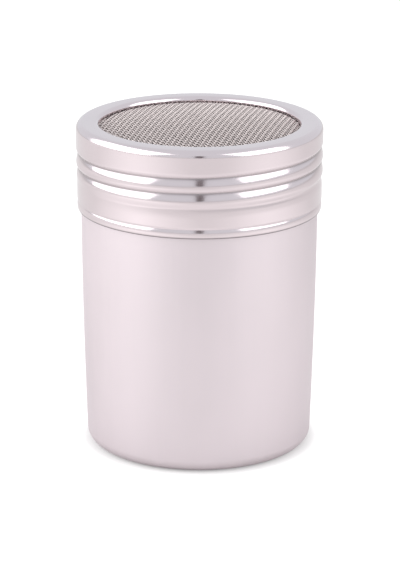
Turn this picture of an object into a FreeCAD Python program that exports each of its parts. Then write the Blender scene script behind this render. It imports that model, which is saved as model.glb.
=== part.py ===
import FreeCAD, Part
import math
import os

# A counter-top spice shaker in stainless steel, in millimetres. A drawn cup stands on the ground plane with
# its axis on Z. A lid pressed from sheet screws onto its neck, and holds a domed screen of crossed wires
# between its turned-down lip and a retaining ring. The front of the shaker faces -Y, +X is its right side.

# Lid shell
lid_top_height = 95.0
lid_height = 25.0
lid_radius = 35.3
lid_sheet = 0.4
top_corner_radius = 2.0
flange_width = 6.6
lip_bend_radius = 1.0
lip_depth = 1.75
lower_band_inset = 0.2
lower_band_drop = 15.5
band_blend_length = 2.0
hem_height = 2.8
hem_inset = 0.05
hem_blend_length = 0.9

# Thread rolled into the lid, one start, right-handed. Turns are counted from the groove at the front.
thread_pitch = 4.3
groove_depth = 0.55
groove_front_drop = 11.9
groove_flank_above_share = 0.38
groove_flank_below_share = 0.62
groove_rounding_share = 0.08
groove_first_turn = -1.3
groove_last_turn = 1.55
groove_fade_in_turns = 0.8
groove_fade_out_turns = 0.3
groove_corner_blend_length = 1.0

# Thread rolled into the neck of the cup, which bears on the underside of the lid's thread
thread_engagement = 0.2
thread_root_clearance = 0.5
ridge_rise_share = 0.17
ridge_half_width_share = 0.2
ridge_first_turn = -0.9
ridge_last_turn = 1.1
ridge_fade_turns = 0.15

# Cup
cup_wall = 0.4
cup_clearance = 0.4
cup_taper = 1.45
cup_taper_power = 1.75
cup_corner_radius = 3.5
shoulder_rise = 1.5
shoulder_length = 1.2
rim_gap = 0.05

# Screen of crossed wires
wire_diameter = 0.25
wire_spacing = 1.1545
wire_layer_gap = 0.02
screen_dome_rise = 1.6
screen_side_gap = 1.5
screen_edge_margin = 2.0
screen_turn_degrees = -32.6
screen_gap = 0.05

# Retaining ring
ring_sheet = 0.4
ring_side_gap = 0.3
ring_seat_gap = 0.08

# Fineness of the rolled surfaces
columns = 36
thread_row_step = 0.36
plain_row_step = 3.0
corner_row_step = 0.4
weld_tolerance = 0.0001

# Heights and radii that follow
lid_bottom_height = lid_top_height - lid_height
flange_radius = lid_radius - top_corner_radius
corner_height = lid_top_height - top_corner_radius
aperture_radius = lid_radius - flange_width
lip_height = lid_top_height - lip_depth
groove_front_height = lid_top_height - groove_front_drop
rib_radius = lid_radius - lid_sheet - groove_depth

ring_radius = lid_radius - lid_sheet - ring_side_gap
screen_radius = ring_radius - ring_sheet - screen_side_gap
dome_radius = (aperture_radius**2 + screen_dome_rise**2) / (2 * screen_dome_rise)
screen_half_depth = wire_diameter + wire_layer_gap / 2
screen_lip_height = lip_height - screen_gap - screen_half_depth
dome_centre_height = screen_lip_height + screen_dome_rise - dome_radius
screen_edge_height = dome_centre_height + math.sqrt(dome_radius**2 - screen_radius**2)

ring_top_height = screen_edge_height - screen_half_depth - screen_gap
ring_bottom_height = ring_top_height - ring_sheet

rim_height = ring_bottom_height - rim_gap
neck_radius = rib_radius - thread_root_clearance
cup_top_radius = rib_radius - cup_clearance
ridge_height = thread_root_clearance + thread_engagement
shoulder_height = lid_bottom_height + shoulder_rise
neck_base_height = shoulder_height + shoulder_length

ORIGIN = FreeCAD.Vector(0, 0, 0)
UP = FreeCAD.Vector(0, 0, 1)


def save(shape, name):
    shape.exportStep("parts/" + name + ".step")
    print(name, len(shape.Solids), "solids", round(shape.Volume, 2), shape.isValid())


def ease(share):
    """A smooth step from 0 to 1."""
    share = min(1, max(0, share))
    return share * share * (3 - 2 * share)


def turns_and_offset(angle, height, front_height, above_share):
    """The turn of the thread nearest to a point, and how far above it the point is, in pitches."""
    total = (height - front_height) / thread_pitch - angle / (2 * math.pi)
    turn = math.ceil(total - above_share)
    return turn + angle / (2 * math.pi), total - turn


def groove(angle, height):
    """Depth of the lid's thread: a groove with a short curved flank above it and a long one below."""
    turn, offset = turns_and_offset(angle, height, groove_front_height, groove_flank_above_share)
    above = 1 / groove_flank_above_share
    below = 1 / groove_flank_below_share
    mean = (above + below) / 2
    distance = mean * math.hypot(offset, groove_rounding_share) + (above - below) / 2 * offset
    share = max(0, 1 - distance) / (1 - mean * groove_rounding_share)
    fade_in = ease((turn - groove_first_turn) / groove_fade_in_turns)
    fade_out = ease((groove_last_turn - turn) / groove_fade_out_turns)
    below_corner = ease((corner_height - height) / groove_corner_blend_length)
    return groove_depth * share**2 * fade_in * fade_out * below_corner


def ridge(angle, height):
    """Height of the ridge on the neck. It runs just above the lid's groove, which pulls against it."""
    front_height = groove_front_height + ridge_rise_share * thread_pitch
    turn, offset = turns_and_offset(angle, height, front_height, 1 / 2)
    share = max(0, 1 - (offset / ridge_half_width_share) ** 2)
    fade_in = ease((turn - ridge_first_turn) / ridge_fade_turns)
    fade_out = ease((ridge_last_turn - turn) / ridge_fade_turns)
    return ridge_height * share**2 * fade_in * fade_out


def lid_step(height):
    """How far the lid's side lies in at a height, for the band below the thread and for the hem."""
    band_height = lid_top_height - lower_band_drop
    hem_top = lid_bottom_height + hem_height
    on_band = ease((band_height + band_blend_length / 2 - height) / band_blend_length)
    on_hem = ease((hem_top - height) / hem_blend_length)
    return lower_band_inset * (on_band - on_hem) + hem_inset * on_hem


def lid_side(inset):
    """Radius of the lid's side at an angle and height. The inset is 0 outside and the sheet inside."""

    def radius(angle, height):
        return lid_radius - lid_step(height) - groove(angle, height) - inset

    return radius


def cup_side(inset):
    """Radius of the cup's side: a barrel that narrows to the base, a shoulder and the threaded neck."""

    def radius(angle, height):
        below_top = max(0, 1 - height / shoulder_height)
        taper = cup_taper * below_top**cup_taper_power
        on_neck = ease((height - shoulder_height) / shoulder_length)
        step = (cup_top_radius - neck_radius) * on_neck
        crest = max(0, ridge(angle, height) - lid_step(height))
        return cup_top_radius - taper - step + crest - inset

    return radius


def wall(side, low, high):
    """A stretch of a side from one height to another."""
    return lambda angle, along: (side(angle, low + along), low + along), high - low


def corner(centre_radius, centre_height, bend_radius, start_degrees):
    """A quarter-round in the radial plane, followed anticlockwise from its start."""

    def place(angle, along):
        turned = math.radians(start_degrees) + along / bend_radius
        return (
            centre_radius + bend_radius * math.cos(turned),
            centre_height + bend_radius * math.sin(turned),
        )

    return place, bend_radius * math.pi / 2


def skin(stretch, row_step):
    """A face that goes right round the axis through rows of points along a stretch of outline."""
    place, length = stretch
    rows = max(4, round(length / row_step))
    step = length / rows
    stations = [0, step / 3] + [step * row for row in range(1, rows)] + [length - step / 3, length]
    grid = []
    for column in range(columns):
        angle = 2 * math.pi * column / columns
        line = []
        for along in stations:
            radius, height = place(angle, along)
            line.append(FreeCAD.Vector(radius * math.sin(angle), -radius * math.cos(angle), height))
        grid.append(line)
    grid = [
        [sharpen(grid[i - 1][j], grid[i][j], grid[(i + 1) % columns][j]) for j in range(len(stations))]
        for i in range(columns)
    ]
    inner = range(3, len(stations) - 3)
    grid = [
        [
            sharpen(line[j - 1], line[j], line[j + 1]) if j in inner else line[j]
            for j in range(len(stations))
        ]
        for line in grid
    ]
    surface = Part.BSplineSurface()
    round_knots = [float(i) for i in range(columns + 1)]
    along_knots = [float(i) for i in range(rows + 1)]
    along_counts = [4] + [1] * (rows - 1) + [4]
    surface.buildFromPolesMultsKnots(
        grid, [1] * (columns + 1), along_counts, round_knots, along_knots, True, False, 3, 3
    )
    return surface.toShape()


def sharpen(before, point, after):
    """The pole that makes a cubic spline pass through a point, given the points beside it."""
    return (point * 8 - before - after) * (1 / 6)


def rim_of(face, height):
    """The closed edge of a skin at a height."""
    for edge in face.Edges:
        if edge.isClosed() and abs(edge.BoundBox.ZMin - height) < weld_tolerance:
            return Part.Wire(edge)
    raise ValueError("no rim at this height")


def circle(radius, height):
    return Part.Wire(Part.Circle(FreeCAD.Vector(0, 0, height), UP, radius).toShape())


def welded(faces):
    """The solid inside a closed set of faces."""
    shell = Part.Shell(faces)
    shell.sewShape()
    solid = Part.Solid(shell)
    solid.fix(weld_tolerance, weld_tolerance, weld_tolerance)
    return solid


def turned(outline):
    """A face or wire in the XZ plane spun right round the axis."""
    return outline.revolve(ORIGIN, UP, 360)


def point(radius, height):
    return FreeCAD.Vector(radius, 0, height)


def arc(centre_radius, centre_height, bend_radius, start_degrees, end_degrees):
    """An arc in the XZ plane through its middle."""
    ends = (start_degrees, (start_degrees + end_degrees) / 2, end_degrees)
    places = [
        point(
            centre_radius + bend_radius * math.cos(math.radians(degrees)),
            centre_height + bend_radius * math.sin(math.radians(degrees)),
        )
        for degrees in ends
    ]
    return Part.Arc(*places).toShape()


def line(start, end):
    return Part.LineSegment(start, end).toShape()


def make_lid_shell():
    """The screw cap: threaded side, rounded corner, flat flange and a lip turned down round the opening."""
    inner_corner_radius = top_corner_radius - lid_sheet
    under_height = lid_top_height - lid_sheet
    outer_side = skin(wall(lid_side(0), lid_bottom_height, corner_height), thread_row_step)
    inner_side = skin(wall(lid_side(lid_sheet), lid_bottom_height, corner_height), thread_row_step)
    outer_corner = skin(corner(flange_radius, corner_height, top_corner_radius, 0), corner_row_step)
    inner_corner = skin(corner(flange_radius, corner_height, inner_corner_radius, 0), corner_row_step)

    bend_radius = aperture_radius + lip_bend_radius
    bend_height = lid_top_height - lip_bend_radius
    under_bend_radius = lip_bend_radius - lid_sheet
    lip = Part.Wire(
        [
            arc(bend_radius, bend_height, lip_bend_radius, 90, 180),
            line(point(aperture_radius, bend_height), point(aperture_radius, lip_height)),
            line(point(aperture_radius, lip_height), point(aperture_radius + lid_sheet, lip_height)),
            line(
                point(aperture_radius + lid_sheet, lip_height),
                point(aperture_radius + lid_sheet, bend_height),
            ),
            arc(bend_radius, bend_height, under_bend_radius, 180, 90),
        ]
    )
    flange_top = Part.Face([rim_of(outer_corner, lid_top_height), circle(bend_radius, lid_top_height)])
    flange_under = Part.Face([rim_of(inner_corner, under_height), circle(bend_radius, under_height)])
    lower_edge = Part.Face([rim_of(outer_side, lid_bottom_height), rim_of(inner_side, lid_bottom_height)])
    sides = [outer_side, inner_side, outer_corner, inner_corner]
    return welded(sides + [flange_top, flange_under, lower_edge] + turned(lip).Faces)


def make_canister():
    """The cup: flat base, small corner, barrel side, shoulder, threaded neck and a plain open rim."""
    base_side_radius = cup_side(0)(0, cup_corner_radius)
    corner_centre = base_side_radius - cup_corner_radius
    inner_corner_radius = cup_corner_radius - cup_wall
    faces = []
    for inset, bend_radius in ((0, cup_corner_radius), (cup_wall, inner_corner_radius)):
        side = cup_side(inset)
        bend = skin(corner(corner_centre, cup_corner_radius, bend_radius, 270), corner_row_step)
        barrel = skin(wall(side, cup_corner_radius, neck_base_height), plain_row_step)
        neck = skin(wall(side, neck_base_height, rim_height), thread_row_step)
        floor = Part.Face(rim_of(bend, cup_corner_radius - bend_radius))
        faces += [bend, barrel, neck, floor]
    rims = [rim_of(faces[2], rim_height), rim_of(faces[6], rim_height)]
    return welded(faces + [Part.Face(rims)])


def make_retaining_ring():
    """A washer under the edge of the screen, its rim turned up to seat in the corner of the lid."""
    reach = top_corner_radius - lid_sheet - ring_seat_gap
    rim_top_height = corner_height + math.sqrt(reach**2 - (ring_radius - flange_radius) ** 2)
    outline = Part.makePolygon(
        [
            point(aperture_radius, ring_bottom_height),
            point(ring_radius, ring_bottom_height),
            point(ring_radius, rim_top_height),
            point(ring_radius - ring_sheet, rim_top_height),
            point(ring_radius - ring_sheet, ring_top_height),
            point(aperture_radius, ring_top_height),
            point(aperture_radius, ring_bottom_height),
        ]
    )
    return turned(Part.Face(outline))


def make_wires(layer_radius, degrees):
    """Parallel wires on the dome. Each is an arc of the circle where a plane cuts the layer's sphere."""
    along = FreeCAD.Vector(math.sin(math.radians(degrees)), math.cos(math.radians(degrees)), 0)
    across = FreeCAD.Vector(along.y, -along.x, 0)
    count = math.floor((screen_radius - screen_edge_margin) / wire_spacing)
    wires = []
    for index in range(-count, count + 1):
        offset = index * wire_spacing
        bend_radius = math.sqrt(layer_radius**2 - offset**2)
        half_length = math.sqrt(screen_radius**2 - offset**2)
        half_angle = math.asin(half_length / bend_radius)
        centre = across * offset + UP * dome_centre_height
        start = centre - along * half_length + UP * (bend_radius * math.cos(half_angle))
        heading = along * math.cos(half_angle) + UP * math.sin(half_angle)
        section = Part.Face(Part.Wire(Part.Circle(start, heading, wire_diameter / 2).toShape()))
        wires.append(section.revolve(centre, along.cross(UP) * -1, math.degrees(2 * half_angle)))
    return Part.makeCompound(wires)


def main():
    os.makedirs("parts", exist_ok=True)
    layer_offset = (wire_diameter + wire_layer_gap) / 2
    save(make_canister(), "canister")
    save(make_lid_shell(), "lid_shell")
    save(make_retaining_ring(), "screen_retaining_ring")
    save(make_wires(dome_radius + layer_offset, screen_turn_degrees), "screen_warp_wires")
    save(make_wires(dome_radius - layer_offset, screen_turn_degrees + 90), "screen_weft_wires")


main()
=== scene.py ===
import math

import bmesh
import bpy
from mathutils import Matrix, Vector


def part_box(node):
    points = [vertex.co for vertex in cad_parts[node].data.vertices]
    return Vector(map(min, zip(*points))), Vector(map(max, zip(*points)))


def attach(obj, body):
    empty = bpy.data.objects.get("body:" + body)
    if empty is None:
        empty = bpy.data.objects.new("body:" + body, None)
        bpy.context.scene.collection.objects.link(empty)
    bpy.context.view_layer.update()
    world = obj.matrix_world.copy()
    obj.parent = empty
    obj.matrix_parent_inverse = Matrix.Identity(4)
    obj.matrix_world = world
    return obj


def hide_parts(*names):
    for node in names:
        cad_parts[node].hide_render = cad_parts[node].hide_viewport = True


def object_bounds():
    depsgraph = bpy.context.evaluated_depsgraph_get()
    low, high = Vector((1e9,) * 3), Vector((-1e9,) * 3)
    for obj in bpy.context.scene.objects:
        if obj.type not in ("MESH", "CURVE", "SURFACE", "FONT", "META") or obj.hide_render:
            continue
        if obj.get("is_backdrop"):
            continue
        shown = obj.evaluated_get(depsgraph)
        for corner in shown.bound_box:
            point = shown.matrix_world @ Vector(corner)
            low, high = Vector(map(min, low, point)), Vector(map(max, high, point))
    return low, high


bl_info = {
    "name": "Spice Shaker",
    "version": (1, 0, 0),
    "blender": (4, 5, 0),
    "location": "View3D > Sidebar > Shaker",
    "description": "A stainless steel spice shaker with a screw lid and a woven wire screen",
    "category": "Add Mesh",
}

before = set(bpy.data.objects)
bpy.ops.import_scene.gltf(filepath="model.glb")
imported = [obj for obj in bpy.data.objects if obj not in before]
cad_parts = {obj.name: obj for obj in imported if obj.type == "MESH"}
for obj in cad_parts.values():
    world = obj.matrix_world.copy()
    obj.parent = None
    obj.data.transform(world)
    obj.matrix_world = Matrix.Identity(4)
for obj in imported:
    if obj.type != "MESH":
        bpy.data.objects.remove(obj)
CAD_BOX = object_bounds()
LID_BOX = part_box("lid_shell")
RING_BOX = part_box("screen_retaining_ring")
CUP_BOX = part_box("canister")


def length(name, description, default):
    return bpy.props.FloatProperty(
        name=name, description=description, default=default, min=0, precision=5, unit="LENGTH"
    )


def share(name, description, default):
    return bpy.props.FloatProperty(
        name=name, description=description, default=default, min=0, max=1, subtype="FACTOR"
    )


def number(name, description, default):
    return bpy.props.FloatProperty(name=name, description=description, default=default)


def whole(name, description, default):
    return bpy.props.IntProperty(name=name, description=description, default=default, min=1)


def position(name, description, default):
    return bpy.props.FloatVectorProperty(
        name=name,
        description=description,
        default=default,
        size=3,
        precision=5,
        subtype="TRANSLATION",
        unit="LENGTH",
    )


def angle(name, description, default):
    return bpy.props.FloatProperty(name=name, description=description, default=default, subtype="ANGLE")


def colour(name, description, default):
    return bpy.props.FloatVectorProperty(
        name=name, description=description, default=default, size=3, min=0, max=1, subtype="COLOR"
    )


class LidSizes(bpy.types.PropertyGroup):
    """The pressed lid and the thread rolled into its side"""

    top: length("Top height", "Height of the lid's flange above the ground", LID_BOX[1].z)
    bottom: length("Bottom height", "Height of the lid's lower edge above the ground", LID_BOX[0].z)
    radius: length("Radius", "Radius of the lid's side", 0.0353)
    sheet: length("Sheet", "Thickness of the sheet", 0.0004)
    corner: length("Top corner", "Radius of the corner between side and flange", 0.002)
    flange: length("Flange width", "From the lid's side to the edge of the opening", 0.0066)
    lip_bend: length("Lip bend", "Radius of the bend at the edge of the opening", 0.0012)
    lip_depth: length("Lip depth", "How far the lip turns down into the opening", 0.00175)
    band_inset: length("Band inset", "How far the band below the thread lies in", 0.0002)
    band_drop: length("Band drop", "From the lid's top down to the band below the thread", 0.0155)
    band_blend: length("Band blend", "Height of the soft step at the top of the band", 0.002)
    hem: length("Hem height", "Height of the rounded hem at the lid's lower edge", 0.0027)
    hem_inset: length("Hem inset", "How far the fullest part of the hem lies in", 0.00022)
    hem_crease: length("Hem crease", "How much further in the hem starts, at its top", 0.0003)
    hem_blend: length("Hem blend", "Height of the step from the band into the crease", 0.0004)
    hem_middle: share("Hem middle", "How high up the hem its fullest part is", 0.42)
    turn_in: length("Turn in", "How far the hem turns in at its lower end", 0.00025)
    lower_edge: length("Lower edge", "Rounding of the hem's outer lower edge", 0.00028)
    # Painted shade: a dark band along the lid's lower edge, also made duller.
    edge_shade_height: length("Edge shade", "Height of the painted shade along the lower edge, which is also made duller", 0.0005)
    pitch: length("Thread pitch", "Rise of the thread in one turn", 0.0043)
    groove_depth: length("Groove depth", "Depth of the rolled groove", 0.00055)
    groove_drop: length("Groove drop", "From the lid's top down to the groove at the front", 0.0119)
    flank_above: share("Flank above", "Part of the pitch that the groove's upper flank takes", 0.28)
    flank_below: share("Flank below", "Part of the pitch that the groove's lower flank takes", 0.72)
    rounding: share("Rounding", "Part of the pitch that rounds the bottom of the groove", 0.05)
    first_turn: number("First turn", "Where the groove starts, in turns from the front", -1.3)
    last_turn: number("Last turn", "Where the groove ends, in turns from the front", 1.55)
    fade_in: number("Fade in", "Turns over which the groove deepens", 0.8)
    fade_out: number("Fade out", "Turns over which the groove runs out", 0.3)
    edge: length("Edge rounding", "Rounding of the cut edges of the sheet", 0.0001)
    row: length("Row", "Height of one row of faces on the side", 0.0002)
    corner_steps: whole("Corner steps", "Faces over the top corner", 16)
    inner_corner_steps: whole("Inner corner steps", "Faces over the top corner inside", 12)
    lip_steps: whole("Lip steps", "Faces over the bend of the lip", 10)
    inner_lip_steps: whole("Inner lip steps", "Faces over the bend of the lip inside", 8)
    edge_steps: whole("Edge steps", "Faces over the hem's lower edge", 8)
    steps_around: whole("Steps around", "Faces right round the lid", 320)


class CupSizes(bpy.types.PropertyGroup):
    """The drawn cup with its threaded neck"""

    rim: length("Rim height", "Height of the rim above the ground", CUP_BOX[1].z)
    wall: length("Wall", "Thickness of the cup's wall", 0.0004)
    radius: length("Radius", "Radius of the cup just below its shoulder", 0.03395)
    neck_radius: length("Neck radius", "Radius of the neck between the threads", 0.03385)
    shoulder: length("Shoulder height", "Height at which the neck starts to draw in", 0.0715)
    shoulder_length: length("Shoulder length", "Height of the shoulder", 0.0012)
    taper: length("Taper", "How much narrower the cup is at its base", 0.00145)
    taper_power: number("Taper power", "How late the sides start to draw in", 1.75)
    corner: length("Corner", "Radius of the corner round the base", 0.0035)
    ridge_height: length("Ridge height", "Height of the neck's thread", 0.0007)
    ridge_rise: share("Ridge rise", "How far the ridge runs above the lid's groove, in pitches", 0.17)
    ridge_half_width: share("Ridge half width", "Half of the ridge's width, in pitches", 0.2)
    ridge_first_turn: number("First turn", "Where the ridge starts, in turns from the front", -0.9)
    ridge_last_turn: number("Last turn", "Where the ridge ends, in turns from the front", 1.1)
    ridge_fade: number("Fade", "Turns over which the ridge rises and runs out", 0.15)
    edge: length("Edge rounding", "Rounding of the rim's cut edges", 0.0001)
    # Painted shade: the inside is darkened as if shaded, and also made duller.
    inside_shade_and_dull: share("Inside shade and dull", "How much the inside is darkened with painted shade and made duller", 1)
    side_row: length("Side row", "Height of one row of faces on the side", 0.0025)
    shoulder_row: length("Shoulder row", "Height of one row of faces on the shoulder", 0.0002)
    neck_row: length("Neck row", "Height of one row of faces on the neck", 0.00022)
    base_row: length("Base row", "Width of one ring of faces on the base", 0.006)
    corner_steps: whole("Corner steps", "Faces over the corner round the base", 12)
    inner_corner_steps: whole("Inner corner steps", "Faces over that corner inside", 10)
    steps_around: whole("Steps around", "Faces right round the cup", 288)


class ScreenSizes(bpy.types.PropertyGroup):
    """The woven wire screen and the ring that holds it"""

    wire: length("Wire", "Diameter of the wire", 0.00025)
    spacing: length("Spacing", "From one wire to the next", 0.0011545)
    crossing_gap: length("Crossing gap", "Gap between two wires where they cross", 0.00002)
    radius: length("Radius", "Radius of the screen", 0.0327)
    rise: length("Dome rise", "How far the screen domes up within the opening", 0.0013)
    edge_rise: length("Edge rise", "How much more the screen rises close to its edge", 0.0005)
    edge_power: number("Edge power", "How close to the edge that rise is", 24)
    margin: length("Edge margin", "From the outermost wires to the edge of the screen", 0.002)
    seat_gap: length("Seat gap", "Gap between the screen and the lid's lip", 0.00005)
    turn: angle("Turn", "How far the screen is turned about the lid's axis", math.radians(-32.6))
    ring_sheet: length("Ring sheet", "Thickness of the retaining ring", 0.0004)
    ring_edge: length("Ring edge rounding", "Rounding of the retaining ring's edges", 0.00008)
    ring_steps: whole("Ring steps", "Faces right round the retaining ring", 240)
    wire_sides: whole("Wire sides", "Faces round a wire", 8)
    crossing_steps: whole("Crossing steps", "Faces along a wire from one crossing to the next", 4)


class SteelColours(bpy.types.PropertyGroup):
    """Colours and gloss of the steel"""

    lid: colour("Lid", "Polished steel of the lid", (0.700, 0.618, 0.640))
    cup: colour("Cup", "Satin steel of the cup", (0.715, 0.640, 0.664))
    ring: colour("Ring", "Plain steel of the retaining ring", (0.66, 0.60, 0.61))
    wire: colour("Wire", "Drawn steel of the screen's wires", (0.64, 0.565, 0.55))
    lid_roughness: share("Lid roughness", "Roughness of the polished lid", 0.14)
    cup_roughness: share("Cup roughness", "Roughness of the satin cup", 0.52)
    ring_roughness: share("Ring roughness", "Roughness of the retaining ring", 0.30)
    wire_roughness: share("Wire roughness", "Roughness of the wires", 0.16)


class StageSizes(bpy.types.PropertyGroup):
    """Floor, lights and camera"""

    floor: colour("Floor", "Colour of the floor", (0.60, 0.60, 0.60))
    floor_size: length("Floor size", "Width of the floor", 8.0)
    floor_glow: number("Floor glow", "How much the floor's white is lifted in plain view", 0.75)
    floor_shine: number("Floor shine", "How much the floor's white is lifted in the steel", 0.43)
    # Painted pools of light: glow on the floor that only the steel sees, standing in for the softboxes'
    # light.
    left_pool: number("Left pool", "Painted pool of light for the left softbox, on the floor in the steel", 0.46)
    right_pool: number("Right pool", "Painted pool of light for the right softbox, on the floor in the steel", 0.36)
    pool_size: length("Pool size", "Radius of the pool of light in front of a softbox", 0.26)
    shadow_reach: length("Shadow reach", "How far the soft shadow at the base reaches", 0.004)
    steel_reach: length("Shadow reach in the steel", "How far that shadow reaches in the steel", 0.02)
    backdrop: colour("Backdrop", "Colour of the backdrop in the steel", (0.86, 0.90, 0.935))
    fill: number("Fill", "Level of the light from all round", 0.42)
    side_light: number("Side lights", "Brightness of the two side lights", 1.6)
    card: colour("Camera card", "Grey of what stands at the camera", (0.24, 0.20, 0.205))
    contact: share("Contact", "Part of the floor's lift that is left where the shaker touches it", 0.4)
    drop: length("Floor drop", "How far the floor lies below the shaker, to keep them apart", 0.00005)
    left_pool_place: position("Left pool place", "Middle of the left pool of light", (-0.22, -0.15, 0))
    right_pool_place: position("Right pool place", "Middle of the right pool of light", (0.23, -0.11, 0))
    softbox_aim: length("Softbox aim", "Height of the point that the side lights face", 0.07)
    camera: position("Camera", "Place of the camera", (0, -0.7635, 0.2863))
    aim: position("Aim", "Point that the camera looks at", (0.00025, 0, 0.0459))
    roll: angle("Roll", "How far the camera is turned about its view", math.radians(0.2))
    lens: number("Lens", "Focal length of the camera in millimetres", 174.2)
    sensor: number("Sensor", "Width of the camera's sensor in millimetres", 36)
    card_width: length("Card width", "Width of what stands at the camera", 0.11)
    card_height: length("Card height", "Height of what stands at the camera", 0.5)
    card_distance: length("Card distance", "How far behind the camera it stands", 0.1)


SHARP_ANGLE = math.radians(50)
FEWEST_WIRE_STEPS = 6
# How far painted shade darkens the steel towards black.
PAINTED_SHADE_DARKNESS = 0.6
DULL_ROUGHNESS = 0.2
CLOUD_TINT = 0.25
GRAIN_GLOSS = 0.25
CLOUD_GLOSS = 0.3
BUMP_DISTANCE = 0.0001
# Painted shade in the lid's groove: how narrow the dark line is, and how dark.
GROOVE_SHADE_POWER = 6
GROOVE_SHADE = 0.7


def ease(way):
    """A smooth step from 0 to 1."""
    way = min(1, max(0, way))
    return way * way * (3 - 2 * way)


def turns_and_offset(pitch, round_angle, height, front_height, above_share):
    """The turn of the thread nearest to a point, and how far above it the point is, in pitches."""
    total = (height - front_height) / pitch - round_angle / (2 * math.pi)
    turn = math.ceil(total - above_share)
    return turn + round_angle / (2 * math.pi), total - turn


def groove(lid, round_angle, height):
    """Depth of the lid's thread at a point of its side."""
    front = lid.top - lid.groove_drop
    turn, offset = turns_and_offset(lid.pitch, round_angle, height, front, lid.flank_above)
    above = 1 / lid.flank_above
    below = 1 / lid.flank_below
    mean = (above + below) / 2
    distance = mean * math.hypot(offset, lid.rounding) + (above - below) / 2 * offset
    depth = max(0, 1 - distance) / (1 - mean * lid.rounding)
    fade_in = ease((turn - lid.first_turn) / lid.fade_in)
    fade_out = ease((lid.last_turn - turn) / lid.fade_out)
    return lid.groove_depth * depth**2 * fade_in * fade_out


def ridge(lid, cup, round_angle, height):
    """Height of the neck's thread at a point of its side."""
    front = lid.top - lid.groove_drop + cup.ridge_rise * lid.pitch
    turn, offset = turns_and_offset(lid.pitch, round_angle, height, front, 1 / 2)
    crest = max(0, 1 - (offset / cup.ridge_half_width) ** 2)
    fade_in = ease((turn - cup.ridge_first_turn) / cup.ridge_fade)
    fade_out = ease((cup.ridge_last_turn - turn) / cup.ridge_fade)
    return cup.ridge_height * crest**2 * fade_in * fade_out


def lid_step(lid, height):
    """How far the lid's side lies in at a height, for its lower band and its hem."""
    up = (height - lid.bottom) / lid.hem
    if up < 1:
        above = max(0, (up - lid.hem_middle) / (1 - lid.hem_middle))
        below = max(0, 1 - up / lid.hem_middle)
        return lid.hem_inset + lid.hem_crease * above**2 + lid.turn_in * below**3
    on_band = ease((lid.top - lid.band_drop + lid.band_blend / 2 - height) / lid.band_blend)
    on_hem = ease((lid.bottom + lid.hem + lid.hem_blend - height) / lid.hem_blend)
    return lid.band_inset * on_band + (lid.hem_inset + lid.hem_crease - lid.band_inset) * on_hem


def cup_radius(cup, height):
    """Outer radius of the cup's side at a height, without its thread."""
    taper = cup.taper * max(0, 1 - height / cup.shoulder) ** cup.taper_power
    on_neck = ease((height - cup.shoulder) / cup.shoulder_length)
    return cup.radius - taper - (cup.radius - cup.neck_radius) * on_neck


def inside_cup(cup, radius, height):
    """Whether a point of the cup's sheet, taken without its thread, is on the inside."""
    if height < cup.corner:
        centre = cup_radius(cup, cup.corner) - cup.corner
        reach = math.hypot(max(0, radius - centre), height - cup.corner)
        return reach < cup.corner - cup.wall / 2
    return radius < cup_radius(cup, height) - cup.wall / 2


def bend(centre, radius, start, end, steps):
    """Points on an arc of an outline, from one angle to another in degrees."""
    turns = [math.radians(start + (end - start) * step / steps) for step in range(steps + 1)]
    return [(centre[0] + radius * math.cos(t), centre[1] + radius * math.sin(t)) for t in turns]


def rows(low, high, step):
    """Heights from one to another in even steps, both ends included."""
    count = max(1, round(abs(high - low) / step))
    return [low + (high - low) * row / count for row in range(count + 1)]


def spun(outline, steps, closed):
    """An outline of radii and heights spun right round the upright axis."""
    mesh = bmesh.new()
    corners = [mesh.verts.new((radius, 0, height)) for radius, height in outline]
    edges = [mesh.edges.new(pair) for pair in zip(corners, corners[1:])]
    if closed:
        edges.append(mesh.edges.new((corners[-1], corners[0])))
    bmesh.ops.spin(
        mesh,
        geom=corners + edges,
        cent=(0, 0, 0),
        axis=(0, 0, 1),
        angle=2 * math.pi,
        steps=steps,
        use_merge=True,
    )
    bmesh.ops.remove_doubles(mesh, verts=mesh.verts, dist=1e-7)
    bmesh.ops.recalc_face_normals(mesh, faces=mesh.faces)
    return mesh


def move_side(mesh, in_reach, change):
    """Moves the points of a spun side out or in by a rule of angle and height."""
    for point in mesh.verts:
        radius = math.hypot(point.co.x, point.co.y)
        if in_reach(radius, point.co.z):
            factor = 1 + change(math.atan2(point.co.x, -point.co.y), point.co.z) / radius
            point.co.x *= factor
            point.co.y *= factor


def soften_edges(mesh, width, steps):
    """Rounds every sharp edge of a mesh."""
    closed = [edge for edge in mesh.edges if len(edge.link_faces) == 2]
    sharp = [edge for edge in closed if edge.calc_face_angle() > SHARP_ANGLE]
    bmesh.ops.bevel(
        mesh, geom=sharp, offset=width, affect="EDGES", segments=steps, profile=0.5, material=-1
    )


def add_piece(mesh, name, body, finish, nodes):
    """Puts a finished mesh in the scene in place of the CAD nodes that it stands for."""
    for face in mesh.faces:
        face.smooth = True
    data = bpy.data.meshes.new(name)
    mesh.to_mesh(data)
    mesh.free()
    piece = bpy.data.objects.new(name, data)
    bpy.context.scene.collection.objects.link(piece)
    data.materials.append(finish)
    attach(piece, body)
    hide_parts(*nodes)
    return piece


class Shade:
    """A socket of a finish, which can stand in sums."""

    def __init__(self, finish, socket):
        self.finish = finish
        self.socket = socket

    def sum(self, operation, first, second):
        return self.finish.node("ShaderNodeMath", {"operation": operation}, {0: first, 1: second})

    def __add__(self, other):
        return self.sum("ADD", self, other)

    def __radd__(self, other):
        return self.sum("ADD", other, self)

    def __sub__(self, other):
        return self.sum("SUBTRACT", self, other)

    def __rsub__(self, other):
        return self.sum("SUBTRACT", other, self)

    def __mul__(self, other):
        return self.sum("MULTIPLY", self, other)

    def __rmul__(self, other):
        return self.sum("MULTIPLY", other, self)


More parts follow.
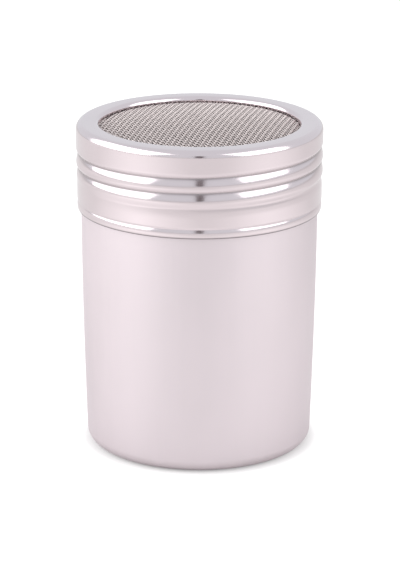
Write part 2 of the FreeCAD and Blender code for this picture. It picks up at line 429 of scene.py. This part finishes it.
class Finish:
    """A node tree that is written node by node."""

    def __init__(self, tree):
        self.tree = tree
        tree.nodes.clear()

    def node(self, kind, settings=None, inputs=None, output=0):
        """One node: its settings, then the values or links of its sockets. Gives one of its outputs."""
        node = self.tree.nodes.new(kind)
        for name, value in (settings or {}).items():
            if name == "stops":
                for element, (place, tint) in zip(node.color_ramp.elements, value):
                    element.position = place
                    element.color = tint
            else:
                setattr(node, name, value)
        for name, value in (inputs or {}).items():
            if isinstance(value, Shade):
                self.tree.links.new(value.socket, node.inputs[name])
            else:
                node.inputs[name].default_value = value
        return Shade(self, node.outputs[output]) if node.outputs else None

    def noise(self, stretch, detail):
        """Noise from -0.5 to 0.5 on the piece's own coordinates, stretched along its axes."""
        place = self.node("ShaderNodeTexCoord", output="Object")
        place = self.node("ShaderNodeMapping", inputs={"Vector": place, "Scale": stretch})
        settings = {"noise_dimensions": "3D"}
        inputs = {"Vector": place, "Scale": 1, "Detail": detail, "Roughness": 0.55}
        return self.node("ShaderNodeTexNoise", settings, inputs, "Fac") - 0.5

    def tinted(self, tint, amount):
        """A colour made lighter and darker by a varying amount round 0."""
        low = [level * 0.8 for level in tint] + [1]
        high = [min(1, level * 1.2) for level in tint] + [1]
        return self.mixed(low, high, amount + 0.5)

    def mixed(self, first, second, amount):
        """The first colour where the amount is 0, and the second where it is 1."""
        settings = {"data_type": "RGBA"}
        return self.node("ShaderNodeMix", settings, {0: amount, 6: first, 7: second}, 2)


def steel(name, tint, roughness, grain, clouds, grain_amount, bump):
    """Steel with fine marks one way, faint clouds in its gloss, and painted shade with a duller gloss where
    its vertex attribute says.
    """
    material = bpy.data.materials.new(name)
    material.use_nodes = True
    finish = Finish(material.node_tree)
    marks = finish.noise(grain, 3)
    cloud = finish.noise(clouds, 2)
    shade_and_dull = finish.node("ShaderNodeAttribute", {"attribute_name": "shade_and_dull"}, {}, "Fac")
    tone = finish.tinted(tint, marks * grain_amount + cloud * CLOUD_TINT)
    # Painted shade: the colour is darkened towards black where the attribute says.
    tone = finish.mixed(tone, [0, 0, 0, 1], shade_and_dull * PAINTED_SHADE_DARKNESS)
    gloss = roughness + marks * (GRAIN_GLOSS * roughness) + cloud * (CLOUD_GLOSS * roughness)
    gloss = gloss + shade_and_dull * DULL_ROUGHNESS
    relief = {"Strength": bump, "Distance": BUMP_DISTANCE, "Height": marks}
    normal = finish.node("ShaderNodeBump", {}, relief, "Normal")
    inputs = {"Base Color": tone, "Metallic": 1, "Roughness": gloss, "Normal": normal}
    shader = finish.node("ShaderNodeBsdfPrincipled", {}, inputs)
    finish.node("ShaderNodeOutputMaterial", {}, {"Surface": shader})
    return material


class SHAKER_OT_cup(bpy.types.Operator):
    """Add the drawn cup: flat base, barrel side, shoulder and threaded neck"""

    bl_idname = "shaker.cup"
    bl_label = "Cup"

    def execute(self, context):
        cup = context.scene.shaker_cup
        lid = context.scene.shaker_lid
        colours = context.scene.shaker_steel
        neck_base = cup.shoulder + cup.shoulder_length
        corner_centre = (cup_radius(cup, cup.corner) - cup.corner, cup.corner)
        heights = rows(cup.corner, cup.shoulder, cup.side_row)[1:]
        heights += rows(cup.shoulder, neck_base, cup.shoulder_row)[1:]
        heights += rows(neck_base, cup.rim, cup.neck_row)[1:]
        flat = rows(0, corner_centre[0], cup.base_row)
        outline = [(radius, 0) for radius in flat[:-1]]
        outline += bend(corner_centre, cup.corner, 270, 360, cup.corner_steps)
        outline += [(cup_radius(cup, height), height) for height in heights]
        outline += [(cup_radius(cup, height) - cup.wall, height) for height in reversed(heights)]
        outline += bend(corner_centre, cup.corner - cup.wall, 360, 270, cup.inner_corner_steps)
        outline += [(radius, cup.wall) for radius in reversed(flat[:-1])]
        mesh = spun(outline, cup.steps_around, False)

        def on_neck(radius, height):
            return height > neck_base and radius > cup.neck_radius / 2

        move_side(mesh, on_neck, lambda around, height: ridge(lid, cup, around, height))
        soften_edges(mesh, cup.edge, 2)
        # The inside gets painted shade and a duller gloss.
        shade_and_dull = mesh.verts.layers.float.new("shade_and_dull")
        for point in mesh.verts:
            radius = math.hypot(point.co.x, point.co.y)
            if on_neck(radius, point.co.z):
                radius -= ridge(lid, cup, math.atan2(point.co.x, -point.co.y), point.co.z)
            point[shade_and_dull] = cup.inside_shade_and_dull * inside_cup(cup, radius, point.co.z)
        finish = steel(
            "cup_satin_steel",
            colours.cup,
            colours.cup_roughness,
            grain=(900, 900, 12),
            clouds=(30, 30, 22),
            grain_amount=0.12,
            bump=0.05,
        )
        add_piece(mesh, "cup", "cup", finish, ["canister"])
        return {"FINISHED"}


class SHAKER_OT_lid(bpy.types.Operator):
    """Add the pressed lid: threaded side, rounded corner, flange and turned-down lip"""

    bl_idname = "shaker.lid"
    bl_label = "Lid"

    def execute(self, context):
        lid = context.scene.shaker_lid
        colours = context.scene.shaker_steel
        corner_height = lid.top - lid.corner
        corner_centre = (lid.radius - lid.corner, corner_height)
        opening = lid.radius - lid.flange
        lip_centre = (opening + lid.lip_bend, lid.top - lid.lip_bend)
        lip_end = lid.top - lid.lip_depth
        fine = rows(lid.bottom, corner_height, lid.row)
        edge_height = lid.bottom + lid.lower_edge
        edge_centre = (lid.radius - lid_step(lid, edge_height) - lid.lower_edge, edge_height)
        outline = bend(edge_centre, lid.lower_edge, 270, 360, lid.edge_steps)
        outline += [
            (lid.radius - lid_step(lid, height), height) for height in fine[:-1] if height > edge_height
        ]
        outline += bend(corner_centre, lid.corner, 0, 90, lid.corner_steps)
        outline += bend(lip_centre, lid.lip_bend, 90, 180, lid.lip_steps)
        outline += [(opening, lip_end), (opening + lid.sheet, lip_end)]
        outline += bend(lip_centre, lid.lip_bend - lid.sheet, 180, 90, lid.inner_lip_steps)
        outline += bend(corner_centre, lid.corner - lid.sheet, 90, 0, lid.inner_corner_steps)
        outline += [
            (lid.radius - lid_step(lid, height) - lid.sheet, height) for height in reversed(fine[:-1])
        ]
        mesh = spun(outline, lid.steps_around, True)

        def on_side(radius, height):
            return height <= corner_height and radius > lid.radius - lid.flange / 2

        move_side(mesh, on_side, lambda around, height: -groove(lid, around, height))
        soften_edges(mesh, lid.edge, 3)
        shade_and_dull = mesh.verts.layers.float.new("shade_and_dull")
        for point in mesh.verts:
            # Painted shade: a dark line along the bottom of the thread's groove, also made duller.
            in_groove = groove(lid, math.atan2(point.co.x, -point.co.y), point.co.z) / lid.groove_depth
            # Painted shade: a dark band along the lid's lower edge, also made duller.
            at_edge = ease((lid.bottom + lid.edge_shade_height - point.co.z) / (lid.edge_shade_height / 2))
            on_side = math.hypot(point.co.x, point.co.y) > lid.radius - lid.flange / 2
            point[shade_and_dull] = max(in_groove**GROOVE_SHADE_POWER * GROOVE_SHADE, at_edge) * on_side
        finish = steel(
            "lid_polished_steel",
            colours.lid,
            colours.lid_roughness,
            grain=(260, 260, 420),
            clouds=(45, 45, 60),
            grain_amount=0.05,
            bump=0.01,
        )
        add_piece(mesh, "lid", "lid", finish, ["lid_shell"])
        return {"FINISHED"}


class SHAKER_OT_ring(bpy.types.Operator):
    """Add the ring that holds the screen up against the lid's lip"""

    bl_idname = "shaker.ring"
    bl_label = "Retaining ring"

    def execute(self, context):
        lid = context.scene.shaker_lid
        screen = context.scene.shaker_screen
        colours = context.scene.shaker_steel
        inner = lid.radius - lid.flange
        outer = RING_BOX[1].x
        low, top = RING_BOX[0].z, RING_BOX[1].z
        outline = [(inner, low), (outer, low), (outer, top), (outer - screen.ring_sheet, top)]
        outline += [(outer - screen.ring_sheet, low + screen.ring_sheet), (inner, low + screen.ring_sheet)]
        mesh = spun(outline, screen.ring_steps, True)
        soften_edges(mesh, screen.ring_edge, 3)
        finish = steel(
            "ring_steel_finish",
            colours.ring,
            colours.ring_roughness,
            grain=(500, 500, 900),
            clouds=(60, 60, 60),
            grain_amount=0.1,
            bump=0.03,
        )
        add_piece(mesh, "retaining_ring", "lid_lift_body", finish, ["screen_retaining_ring"])
        return {"FINISHED"}


class SHAKER_OT_screen(bpy.types.Operator):
    """Add the domed screen, woven from two sets of wires"""

    bl_idname = "shaker.screen"
    bl_label = "Wire screen"

    def wires(self, lid, screen, degrees, over):
        """One set of wires, each spun along its arc of the dome and then bent over and under the others."""
        crimp = (screen.wire + screen.crossing_gap) / 2
        opening = lid.radius - lid.flange
        dome = (opening**2 + screen.rise**2) / (2 * screen.rise)
        lip_height = lid.top - lid.lip_depth - screen.seat_gap - screen.wire - screen.crossing_gap / 2
        centre_height = lip_height + screen.rise - dome
        along = Vector((math.sin(math.radians(degrees)), math.cos(math.radians(degrees)), 0))
        across = Vector((along.y, -along.x, 0))
        up = Vector((0, 0, 1))
        count = math.floor((screen.radius - screen.margin) / screen.spacing)
        mesh = bmesh.new()
        spare = bpy.data.meshes.new("wire")
        for index in range(-count, count + 1):
            offset = index * screen.spacing
            bend_radius = math.sqrt(dome**2 - offset**2)
            half_length = math.sqrt(screen.radius**2 - offset**2)
            half_angle = math.asin(half_length / bend_radius)
            centre = across * offset + up * centre_height
            start = centre - along * half_length + up * (bend_radius * math.cos(half_angle))
            heading = along * math.cos(half_angle) + up * math.sin(half_angle)
            placed = Matrix.Translation(start) @ heading.to_track_quat("Z", "Y").to_matrix().to_4x4()
            wire = bmesh.new()
            bmesh.ops.create_circle(
                wire, cap_ends=False, segments=screen.wire_sides, radius=screen.wire / 2, matrix=placed
            )
            section = list(wire.edges)
            steps = round(2 * half_length / screen.spacing * screen.crossing_steps)
            swept = bmesh.ops.spin(
                wire,
                geom=list(wire.verts) + section,
                cent=centre,
                axis=-across,
                angle=2 * half_angle,
                steps=max(FEWEST_WIRE_STEPS, steps),
            )
            bmesh.ops.edgeloop_fill(wire, edges=section)
            ends = [edge for edge in swept["geom_last"] if isinstance(edge, bmesh.types.BMEdge)]
            bmesh.ops.edgeloop_fill(wire, edges=ends)
            side = over if index % 2 == 0 else -over
            for point in wire.verts:
                place = point.co - centre
                turned = math.atan2(place.dot(along), place.dot(up))
                raised = math.hypot(place.dot(along), place.dot(up)) - bend_radius
                phase = math.pi * bend_radius * math.sin(turned) / screen.spacing
                slope = math.atan(-side * crimp * math.pi / screen.spacing * math.sin(phase))
                out = along * math.sin(turned) + up * math.cos(turned)
                ahead = along * math.cos(turned) - up * math.sin(turned)
                reach = bend_radius + side * crimp * math.cos(phase) + raised * math.cos(slope)
                sideways = across * place.dot(across)
                point.co = centre + out * reach - ahead * (raised * math.sin(slope)) + sideways
                inwards = min(1, math.hypot(point.co.x, point.co.y) / opening)
                point.co.z += screen.edge_rise * (1 - inwards**screen.edge_power)
            wire.to_mesh(spare)
            wire.free()
            mesh.from_mesh(spare)
        bpy.data.meshes.remove(spare)
        bmesh.ops.recalc_face_normals(mesh, faces=mesh.faces)
        return mesh

    def execute(self, context):
        lid = context.scene.shaker_lid
        screen = context.scene.shaker_screen
        colours = context.scene.shaker_steel
        turn = math.degrees(screen.turn)
        finish = steel(
            "wire_steel",
            colours.wire,
            colours.wire_roughness,
            grain=(700, 700, 700),
            clouds=(150, 150, 150),
            grain_amount=0.2,
            bump=0.02,
        )
        for name, degrees, over in [("warp", turn, 1), ("weft", turn + 90, -1)]:
            mesh = self.wires(lid, screen, degrees, over)
            add_piece(mesh, "screen_" + name, "lid", finish, ["screen_" + name + "_wires"])
        return {"FINISHED"}


class SHAKER_OT_stage(bpy.types.Operator):
    """Add the floor, the lights and the camera"""

    bl_idname = "shaker.stage"
    bl_label = "Floor, lights and camera"

    def floor_paper(self, stage):
        """Matt paper that is lifted to white in plain view and in the steel, but not under the shaker, which
        leaves a painted soft shadow there.
        """
        material = bpy.data.materials.new("floor_paper")
        material.use_nodes = True
        finish = Finish(material.node_tree)
        matt = finish.node("ShaderNodeBsdfDiffuse", {}, {"Color": [*stage.floor, 1]})
        camera, mirrored = self.seen(finish)
        left = self.pool(finish, stage.left_pool_place, stage.pool_size)
        right = self.pool(finish, stage.right_pool_place, stage.pool_size)
        shine = stage.floor_shine + left * stage.left_pool + right * stage.right_pool
        # Painted soft shadow: the floor's glow is taken away near the shaker, in plain view and, further
        # out, in the steel.
        near = self.open_sky(finish, stage.shadow_reach)
        glow = camera * stage.floor_glow * (stage.contact + (1 - stage.contact) * near * near)
        strength = glow + mirrored * shine * self.open_sky(finish, stage.steel_reach)
        light = finish.node("ShaderNodeEmission", {}, {"Color": [1, 1, 1, 1], "Strength": strength})
        both = finish.node("ShaderNodeAddShader", {}, {0: matt, 1: light})
        finish.node("ShaderNodeOutputMaterial", {}, {"Surface": both})
        return material

    def open_sky(self, finish, reach):
        """1 on open floor, and less where the shaker hides a part of what is above it."""
        return finish.node("ShaderNodeAmbientOcclusion", {"samples": 8}, {"Distance": reach}, "AO")

    def pool(self, finish, centre, size):
        """A round painted pool of light on the floor: 1 at its centre, 0 at its edge."""
        place = finish.node("ShaderNodeTexCoord", output="Object")
        shifted = [-centre[0] / size, -centre[1] / size, 0]
        stretch = [1 / size, 1 / size, 1]
        place = finish.node(
            "ShaderNodeMapping", inputs={"Vector": place, "Location": shifted, "Scale": stretch}
        )
        return finish.node("ShaderNodeTexGradient", {"gradient_type": "SPHERICAL"}, {"Vector": place}, "Fac")

    def matt(self, name, tint):
        """A plain matt surface."""
        material = bpy.data.materials.new(name)
        material.use_nodes = True
        finish = Finish(material.node_tree)
        shader = finish.node("ShaderNodeBsdfDiffuse", {}, {"Color": [*tint, 1]})
        finish.node("ShaderNodeOutputMaterial", {}, {"Surface": shader})
        return material

    def seen(self, finish):
        """1 for what the camera sees by itself, and 1 for what it sees in the steel or through glass."""
        kinds = ("Is Camera Ray", "Is Glossy Ray", "Is Transmission Ray")
        camera, glossy, clear = [finish.node("ShaderNodeLightPath", output=kind) for kind in kinds]
        return camera, glossy.sum("MAXIMUM", glossy, clear)

    def flat(self, name, width, height, placed):
        """A flat rectangle."""
        mesh = bmesh.new()
        bmesh.ops.create_grid(mesh, x_segments=1, y_segments=1, size=0.5)
        bmesh.ops.scale(mesh, vec=(width, height, 1), verts=mesh.verts)
        bmesh.ops.transform(mesh, matrix=placed, verts=mesh.verts)
        data = bpy.data.meshes.new(name)
        mesh.to_mesh(data)
        mesh.free()
        piece = bpy.data.objects.new(name, data)
        bpy.context.scene.collection.objects.link(piece)
        piece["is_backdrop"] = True
        return piece

    def side_light(self, stage, name, degrees, distance, height, width, tall):
        """A softbox that faces the shaker. Degrees run from the camera's side towards +X."""
        data = bpy.data.lights.new(name, "AREA")
        data.shape = "RECTANGLE"
        data.size = width
        data.size_y = tall
        data.energy = stage.side_light * math.pi * width * tall
        lamp = bpy.data.objects.new(name, data)
        around = math.radians(degrees)
        lamp.location = (distance * math.sin(around), -distance * math.cos(around), height)
        towards = Vector((0, 0, stage.softbox_aim)) - lamp.location
        lamp.rotation_euler = towards.to_track_quat("-Z", "Y").to_euler()
        bpy.context.scene.collection.objects.link(lamp)

    def execute(self, context):
        stage = context.scene.shaker_stage
        scene = context.scene
        floor_placed = Matrix.Translation((0, 0, -stage.drop))
        floor = self.flat("floor", stage.floor_size, stage.floor_size, floor_placed)
        floor.data.materials.append(self.floor_paper(stage))

        world = bpy.data.worlds.new("studio")
        world.use_nodes = True
        scene.world = world
        finish = Finish(world.node_tree)
        camera, mirrored = self.seen(finish)
        level = stage.fill + (1 - stage.fill) * (camera + mirrored)
        tint = finish.mixed([1, 1, 1, 1], [*stage.backdrop, 1], mirrored)
        sky = finish.node("ShaderNodeBackground", {}, {"Color": tint, "Strength": level})
        finish.node("ShaderNodeOutputWorld", {}, {"Surface": sky})

        self.side_light(stage, "left_softbox", degrees=-81, distance=0.85, height=0.55, width=1.5, tall=1.1)
        self.side_light(stage, "right_softbox", degrees=63, distance=0.9, height=0.6, width=1.0, tall=1.0)

        stand = Vector(stage.camera)
        view = Vector(stage.aim) - stand
        facing = view.to_track_quat("-Z", "Y")
        data = bpy.data.cameras.new("camera")
        data.sensor_fit = "AUTO"
        data.sensor_width = stage.sensor
        data.lens = stage.lens
        camera = bpy.data.objects.new("camera", data)
        camera.rotation_euler = (facing.to_matrix() @ Matrix.Rotation(stage.roll, 3, "Z")).to_euler()
        camera.location = stand
        scene.collection.objects.link(camera)
        scene.camera = camera

        behind = stand - view.normalized() * stage.card_distance
        card_placed = Matrix.Translation(behind) @ facing.to_matrix().to_4x4()
        card = self.flat("camera_card", stage.card_width, stage.card_height, card_placed)
        card.data.materials.append(self.matt("camera_card_grey", stage.card))
        card.visible_camera = False
        card.visible_shadow = False

        scene.view_settings.view_transform = "Standard"
        return {"FINISHED"}


class SHAKER_PT_panel(bpy.types.Panel):
    """Lists the pieces of the shaker in the sidebar"""

    bl_idname = "SHAKER_PT_panel"
    bl_label = "Spice Shaker"
    bl_space_type = "VIEW_3D"
    bl_region_type = "UI"
    bl_category = "Shaker"

    def draw(self, context):
        for operator in OPERATORS:
            self.layout.operator(operator.bl_idname)
        for name, group in GROUPS.items():
            box = self.layout.box()
            box.label(text=group.__doc__)
            for key in group.__annotations__:
                box.prop(getattr(context.scene, name), key)


GROUPS = {
    "shaker_cup": CupSizes,
    "shaker_lid": LidSizes,
    "shaker_screen": ScreenSizes,
    "shaker_steel": SteelColours,
    "shaker_stage": StageSizes,
}
OPERATORS = [SHAKER_OT_cup, SHAKER_OT_lid, SHAKER_OT_ring, SHAKER_OT_screen, SHAKER_OT_stage]


def register():
    for group in [*GROUPS.values(), *OPERATORS, SHAKER_PT_panel]:
        bpy.utils.register_class(group)
    for name, group in GROUPS.items():
        setattr(bpy.types.Scene, name, bpy.props.PointerProperty(type=group))


def unregister():
    for name in GROUPS:
        delattr(bpy.types.Scene, name)
    for group in reversed([*GROUPS.values(), *OPERATORS, SHAKER_PT_panel]):
        bpy.utils.unregister_class(group)


def main():
    register()
    bpy.ops.shaker.cup()
    bpy.ops.shaker.lid()
    bpy.ops.shaker.ring()
    bpy.ops.shaker.screen()
    bpy.ops.shaker.stage()
    boxes = {"cad": CAD_BOX, "visual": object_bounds()}
    boxes = {name: [list(corner) for corner in box] for name, box in boxes.items()}


if __name__ == "__main__":
    main()
